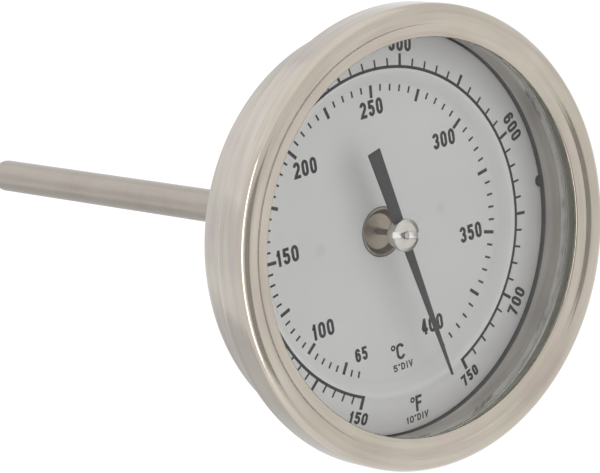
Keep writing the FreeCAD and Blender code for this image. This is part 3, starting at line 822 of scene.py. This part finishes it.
inner_scale = Print("dial_scale_inner")
for t in range(65, 401, 5):
    a = place_of(1.8 * t + 32.0)
    if t % 25 == 0:
        inner_scale.tick(a, 24.57, 26.89, 0.64)
    else:
        inner_scale.tick(a, 25.65, 26.89, 0.39)
inner_scale.done(m_ink)

inner_fig = Print("dial_figures_inner")
for text, cx, cz in (("100", -16.6, -13.7), ("150", -21.8, 1.6), ("200", -14.95, 16.0),
                     ("250", 1.85, 22.7), ("300", 17.4, 12.9), ("350", 20.5, -5.8),
                     ("400", 8.2, -20.0)):
    write(inner_fig, text, 3.02, 5.3 if text[0] != "1" else 4.95, 0.60, upright(cx, cz))
write(inner_fig, "65", 2.55, 2.85, 0.52, upright(-9.0, -20.7))
inner_fig.done(m_ink)

outer_fig = Print("dial_figures_outer")
for text, deg, inward, high, wide in (
        ("150", -156.6, True, 2.3, 4.15), ("200", -134.9, True, 2.8, 5.2),
        ("300", -88.3, False, 2.8, 5.2), ("400", -38.1, False, 2.8, 5.2),
        ("500", 14.9, False, 2.8, 5.2), ("600", 70.3, False, 2.8, 5.2),
        ("700", 127.5, True, 2.8, 5.2), ("750", 156.6, True, 2.3, 4.15)):
    write(outer_fig, text, high, wide + 0.1, 0.58 if high > 2.5 else 0.52,
          round_the_rim(math.radians(deg), 34.30 if high > 2.5 else 34.05, inward))
outer_fig.done(m_ink)

units = Print("dial_unit_marks")
units.stroke(arc(-1.6, -21.8, 0.38, 0.38, 0, 342, 19), 0.34, lambda u, v: (u, v), True)
write(units, "C", 3.05, 1.95, 0.55, upright(0.0, -22.8))
units.stroke(arc(-0.85, -31.65, 0.38, 0.38, 0, 342, 19), 0.34, lambda u, v: (u, v), True)
write(units, "F", 3.05, 1.55, 0.55, upright(0.55, -32.6))
small = {"o": 0.46}
write(units, "5oDIV", 1.32, 4.7, 0.27, upright(0.1, -25.65), 0.22, small)
write(units, "10oDIV", 1.32, 5.3, 0.27, upright(0.0, -35.25), 0.22, small)
units.done(m_ink)


# ================================================================ centre bush
bush_loop = fillet([
    (0.65, FLAT + 1.1, 0.05), (3.3, FLAT + 1.15, 0.3), (3.85, FLAT + 0.2, 0.15),
    (4.15, FLAT - 0.12, 0.10), (4.5, FLAT - 0.05, 0.06), (4.5, FLAT + 0.6), (4.2, FLAT + 0.6),
    (4.2, -21.9), (2.675, -21.9), (2.675, -17.0), (0.65, -17.0)], 5)
dress(lathe("centre_bush_fine", bush_loop, 160), m_bush, "housing",
      ["centre_bush"])


# ================================================================ process fitting
def fitting():
    n = 720
    th = [TAU * k / n for k in range(n)]
    hexr = []
    for a in th:
        # flats face up and down: corners at 90 degrees from the top
        d = (a + math.pi / 6.0) % (math.pi / 3.0) - math.pi / 6.0
        sharp = 22.225 / 2.0 / math.cos(d)
        hexr.append(min(sharp, 12.833 - 0.06))
    PITCH, DEPTH = 1.814, 1.18
    rings = []

    def ring(rf, yf):
        rings.append([(rf(k) * math.sin(th[k]), yf(k), rf(k) * math.cos(th[k]))
                      for k in range(n)])

    def flat_ring(r, y):
        ring(lambda k: r, lambda k: y)

    flat_ring(2.975, -21.9)
    flat_ring(6.85, -21.9)
    flat_ring(7.0, -21.75)
    flat_ring(7.0, -20.02)
    flat_ring(8.9, -20.0)
    flat_ring(9.0, -19.9)
    flat_ring(9.0, -12.15)
    flat_ring(9.15, -12.0)
    # hexagon, both ends chamfered round
    flat_ring(10.9, -12.0)
    for side in (-1, 1):
        def chamfer(share, side=side):
            def rad(k):
                top = max(hexr[k] - 11.2, 0.03)
                return min(hexr[k], hexr[k] - top * (1.0 - share)) if share < 1.0 else hexr[k]

            def yy(k):
                top = max(hexr[k] - 11.2, 0.03)
                d = top * share / 2.0 + 0.0
                return -12.0 + d if side < 0 else -d
            return rad, yy
        shares = (0.0, 0.5, 0.94, 1.0) if side < 0 else (1.0, 0.94, 0.5, 0.0)
        if side > 0:
            for y in (-9.0, -6.0, -3.0):
                ring(lambda k: hexr[k], lambda k, y=y: y)
        for sh in shares:
            ring(*chamfer(sh))
    flat_ring(10.9, 0.0)
    flat_ring(9.6, 0.0)
    flat_ring(9.45, 0.12)
    flat_ring(9.45, 1.3)
    # tapered thread, 14 turns to the inch
    rows = 176
    for i in range(rows + 1):
        y = 1.6 + (15.0 - 1.6) * i / rows
        major = 10.62 - (10.62 - 10.18) * (y - 2.6) / (13.8 - 2.6)
        major = min(major, 10.62)
        fade_in = min(1.0, max(0.0, (y - 1.6) / 1.0))
        nose = max(0.0, (y - 13.8) / 1.2)
        cap = 10.21 - 0.93 * nose if nose > 0 else 99.0
        r_row = []
        for a in th:
            ph = (y / PITCH - a / TAU) % 1.0
            tri = abs(ph - 0.5) * 2.0            # 0 at the crest, 1 at the root
            tri = min(1.0, max(0.0, (tri - 0.09) / 0.82))
            r = major - DEPTH * tri
            if fade_in < 1.0:
                r = 9.45 + (r - 9.45) * fade_in if r > 9.45 else r
            r_row.append(min(r, cap))
        rings.append([(r * math.sin(a), y, r * math.cos(a)) for r, a in zip(r_row, th)])
    flat_ring(8.4, 15.0)
    flat_ring(3.2, 15.0)
    flat_ring(2.975, 14.8)
    return grid_solid("process_fitting_body", rings, True, 24.0)


dress(fitting(), m_fitting, "housing", ["process_fitting"])


# ================================================================ stem
stem_loop = fillet([(2.675, -21.9), (2.975, -21.9), (2.975, 15.6), (3.175, 15.6, 0.08),
                    (3.175, 98.425), (2.675, 98.425)], 4)
longer = []
for i, p in enumerate(stem_loop):
    longer.append(p)
    q = stem_loop[(i + 1) % len(stem_loop)]
    if abs(p[0] - q[0]) < 1e-6 and abs(q[1] - p[1]) > 30:
        for k in range(1, 8):
            longer.append((p[0], p[1] + (q[1] - p[1]) * k / 8.0))
dress(lathe("stem_tube_fine", longer, 128), m_stem, "housing", ["stem_tube"])
tip = [(0.0, 95.425), (2.675, 95.425), (2.675, 98.425), (3.135, 98.425), (3.15, 98.47)]
tip += [(3.175 * math.cos(t), 98.425 + 3.175 * math.sin(t))
        for t in [math.radians(2.0 + 88.0 * k / 24.0) for k in range(24)]]
tip += [(0.0, 101.6)]
dress(lathe("stem_tip_round", tip, 128), m_stem, "housing", ["stem_tip_plug"])


# ================================================================ pointer
REST = math.radians(167.2)


def spin(x, z):
    """Pointer's own plane (x across, z to the tip) -> dial plane at rest."""
    return (x * math.cos(REST) + z * math.sin(REST), -x * math.sin(REST) + z * math.cos(REST))


def blade():
    half = [(-0.22, 29.2), (-0.95, 2.2), (-1.12, -2.2), (-1.45, -16.9)]
    rows = []
    stops = [29.2, 29.17, 29.10]
    stops += [29.0 - (29.0 - 2.2) * k / 24.0 for k in range(25)]
    stops += [2.2 - 4.4 * k / 6.0 for k in range(1, 7)]
    stops += [-2.2 - 14.5 * k / 12.0 for k in range(1, 13)]
    stops += [-16.8, -16.87, -16.9]

    def wide(z):
        for (xa, za), (xb, zb) in zip(half, half[1:]):
            if zb <= z <= za:
                return -(xa + (xb - xa) * (z - za) / (zb - za))
        return 0.22
    bev = 0.07
    back, face = -30.2, -30.55
    for z in stops:
        w = wide(z)
        end = min(29.2 - z, z + 16.9)
        cut = max(0.0, bev - end)
        w2 = w - cut
        b = bev
        sec = [(-w2 + b, face), (w2 - b, face), (w2, face + b), (w2, back - b),
               (w2 - b, back), (-w2 + b, back), (-w2, back - b), (-w2, face + b)]
        if cut > 0.0:
            f2, b2 = face + cut, back - cut
            sec = [(x, min(max(y, f2), b2)) for x, y in sec]
        rows.append([(spin(x, z)[0], y, spin(x, z)[1]) for x, y in sec])
    bm = bmesh.new()
    made = [[bm.verts.new(p) for p in row] for row in rows]
    for A, B in zip(made, made[1:]):
        for k in range(8):
            j = (k + 1) % 8
            bm.faces.new((A[k], A[j], B[j], B[k]))
    bm.faces.new(made[0])
    bm.faces.new(made[-1])
    return finish_mesh("pointer_blade_fine", bm, 30.0)


dress(blade(), m_pointer, "pointer", ["pointer_blade"])

boss_loop = fillet([(0.6, -28.4), (0.6, -30.2), (2.35, -30.2, 0.1), (2.35, -28.4, 0.3)], 5)
dress(lathe("pointer_boss_fine", boss_loop, 128), m_nickel, "pointer",
      ["pointer_boss"])


def cut_hub():
    """Domed head with a slot across it, its edges eased."""
    loop = fillet([(0.6, -30.55), (3.0, -30.55, 0.1), (3.0, -31.35, 0.14), (2.25, -31.54, 1.2),
                   (0.75, -31.6), (0.75, -31.3), (0.6, -31.25)], 8)
    head = lathe("pointer_hub_head", loop, 144, 30.0)
    head.data.transform(Matrix.Scale(1.0 / MM, 4))
    turn_y = math.radians(90.0 + 62.0)
    bm = bmesh.new()
    bmesh.ops.create_cube(bm, size=1.0)
    for v in bm.verts:
        x, y, z = v.co.x * 8.0, -31.0 - 0.6 + v.co.y * 1.2 + 0.0, v.co.z * 1.15
        y = -31.0 if v.co.y > 0 else -32.4
        # the slot lies turned from the pointer's own line, then the whole
        # hub stands at the pointer's rest angle
        px = x * math.cos(turn_y) - z * math.sin(turn_y)
        pz = x * math.sin(turn_y) + z * math.cos(turn_y)
        qx, qz = spin(px, pz)
        v.co = Vector((qx, y, qz))
    bmesh.ops.recalc_face_normals(bm, faces=bm.faces)
    cutter_mesh = bpy.data.meshes.new("slot_cutter")
    bm.to_mesh(cutter_mesh)
    bm.free()
    cutter = bpy.data.objects.new("slot_cutter", cutter_mesh)
    scene.collection.objects.link(cutter)
    mod = head.modifiers.new("slot", "BOOLEAN")
    mod.operation = "DIFFERENCE"
    mod.solver = "EXACT"
    mod.object = cutter
    bev = head.modifiers.new("ease", "BEVEL")
    bev.width = 0.045
    bev.segments = 2
    bev.limit_method = "ANGLE"
    bev.angle_limit = math.radians(50.0)
    bpy.context.view_layer.update()
    dg = bpy.context.evaluated_depsgraph_get()
    mesh = bpy.data.meshes.new_from_object(head.evaluated_get(dg))
    head.modifiers.clear()
    head.data = mesh
    mesh.transform(Matrix.Scale(MM, 4))
    for p in mesh.polygons:
        p.use_smooth = True
    mesh.set_sharp_from_angle(angle=math.radians(30.0))
    bpy.data.objects.remove(cutter)
    return head


hub_v = cut_hub()
dress(hub_v, m_nickel, "pointer", ["pointer_hub"])
hub_v.data.materials.append(m_slot_painted_light)
for p in hub_v.data.polygons:
    # painted light: the floor and the walls of the slot get a brighter nickel than the face
    if -31.4 < p.center.y / MM < -30.9 and math.hypot(p.center.x, p.center.z) / MM < 2.9:
        p.material_index = 1
shaft_loop = fillet([(0.0, -31.5), (0.6, -31.5, 0.1), (0.6, 48.0, 0.05), (0.0, 48.0)], 4)
dress(lathe("pointer_shaft_fine", shaft_loop, 64), m_fitting, "pointer",
      ["pointer_shaft"])

# ================================================================ sealed pieces
for node, mat in (("dial_posts", m_case), ("backing_washer", m_inner),
                  ("bimetal_coil", m_strip), ("coil_anchor", m_brass),
                  ("coil_collar", m_brass), ("guide_bush_lower", m_brass),
                  ("guide_bush_middle", m_brass)):
    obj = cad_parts[node]
    obj.data.materials.clear()
    obj.data.materials.append(mat)


# ================================================================ studio
def floor():
    bm = bmesh.new()
    bmesh.ops.create_grid(bm, x_segments=2, y_segments=2, size=14.0)
    mesh = bpy.data.meshes.new("floor")
    bm.to_mesh(mesh)
    bm.free()
    obj = bpy.data.objects.new("floor", mesh)
    scene.collection.objects.link(obj)
    obj.location = (0.0, 0.0, -0.30)
    t = Tree("floor_paper")
    whole, x, y, z = t.place()
    n = t.noise(whole, 0.02, 3.0, 0.6, 0.5)
    col = t.ramp(t.span(n, 0.3, 0.7, 0.0, 1.0), [(0.0, (0.975, 0.975, 0.975)), (1.0, (0.985, 0.985, 0.985))])
    t.principled(Base_Color=col, Roughness=0.9, Specular_IOR_Level=0.0)
    obj.data.materials.append(t.mat)
    return obj


def card(name, centre, normal, wide, high, grey):
    """A flag: a plain grey card that stands beside the camera."""
    bm = bmesh.new()
    bmesh.ops.create_grid(bm, x_segments=1, y_segments=1, size=0.5)
    mesh = bpy.data.meshes.new(name)
    bm.to_mesh(mesh)
    bm.free()
    obj = bpy.data.objects.new(name, mesh)
    scene.collection.objects.link(obj)
    obj.rotation_mode = "QUATERNION"
    obj.rotation_quaternion = Vector(normal).to_track_quat("Z", "Y")
    obj.scale = (wide, high, 1.0)
    obj.location = centre
    t = Tree(name)
    whole, x, y, z = t.place()
    n = t.noise(whole, 0.01, 3.0, 0.6, 0.5)
    col = t.ramp(n, [(0.0, (grey * 0.95,) * 3), (1.0, (grey * 1.05,) * 3)])
    t.principled(Base_Color=col, Roughness=0.9, Specular_IOR_Level=0.0)
    obj.data.materials.append(t.mat)
    obj.visible_camera = False
    obj.visible_shadow = False
    return obj


def area(name, centre, target, wide, high, radiance, colour=(1.0, 1.0, 1.0)):
    data = bpy.data.lights.new(name, "AREA")
    data.shape = "RECTANGLE"
    data.size = wide
    data.size_y = high
    data.energy = radiance * wide * high * math.pi
    data.color = colour
    obj = bpy.data.objects.new(name, data)
    scene.collection.objects.link(obj)
    obj.location = centre
    obj.rotation_mode = "QUATERNION"
    obj.rotation_quaternion = (Vector(target) - Vector(centre)).to_track_quat("-Z", "Y")
    obj.visible_camera = False
    return obj


floor()
world = bpy.data.worlds.new("studio")
scene.world = world
world.use_nodes = True
bg = world.node_tree.nodes["Background"]
bg.inputs["Color"].default_value = (1.0, 1.0, 1.0, 1.0)
bg.inputs["Strength"].default_value = 1.0

area("left_tall", (-0.362, -0.112, 0.02), (-0.0418, -0.0365, 0.02), 0.055, 0.60, 4.3)
area("top_box", (0.0, 0.3, 2.6), (0.0, 0.3, 0.0), 4.5, 4.5, 0.22)
area("back_box", (-0.65, 1.75, 1.15), (0.0, 0.0, 0.0), 2.0, 1.2, 0.22)
card("front_flag", (-0.204, -0.367, -0.06), (0.485, 0.874, 0.0), 0.34, 0.46, 0.42)
card("low_flag", (0.02, 0.34, -0.27), (0.0, -0.25, 1.0), 0.80, 0.50, 0.70)

scene.view_settings.view_transform = "Standard"
scene.view_settings.look = "None"
scene.view_settings.exposure = 0.0
scene.view_settings.gamma = 1.0
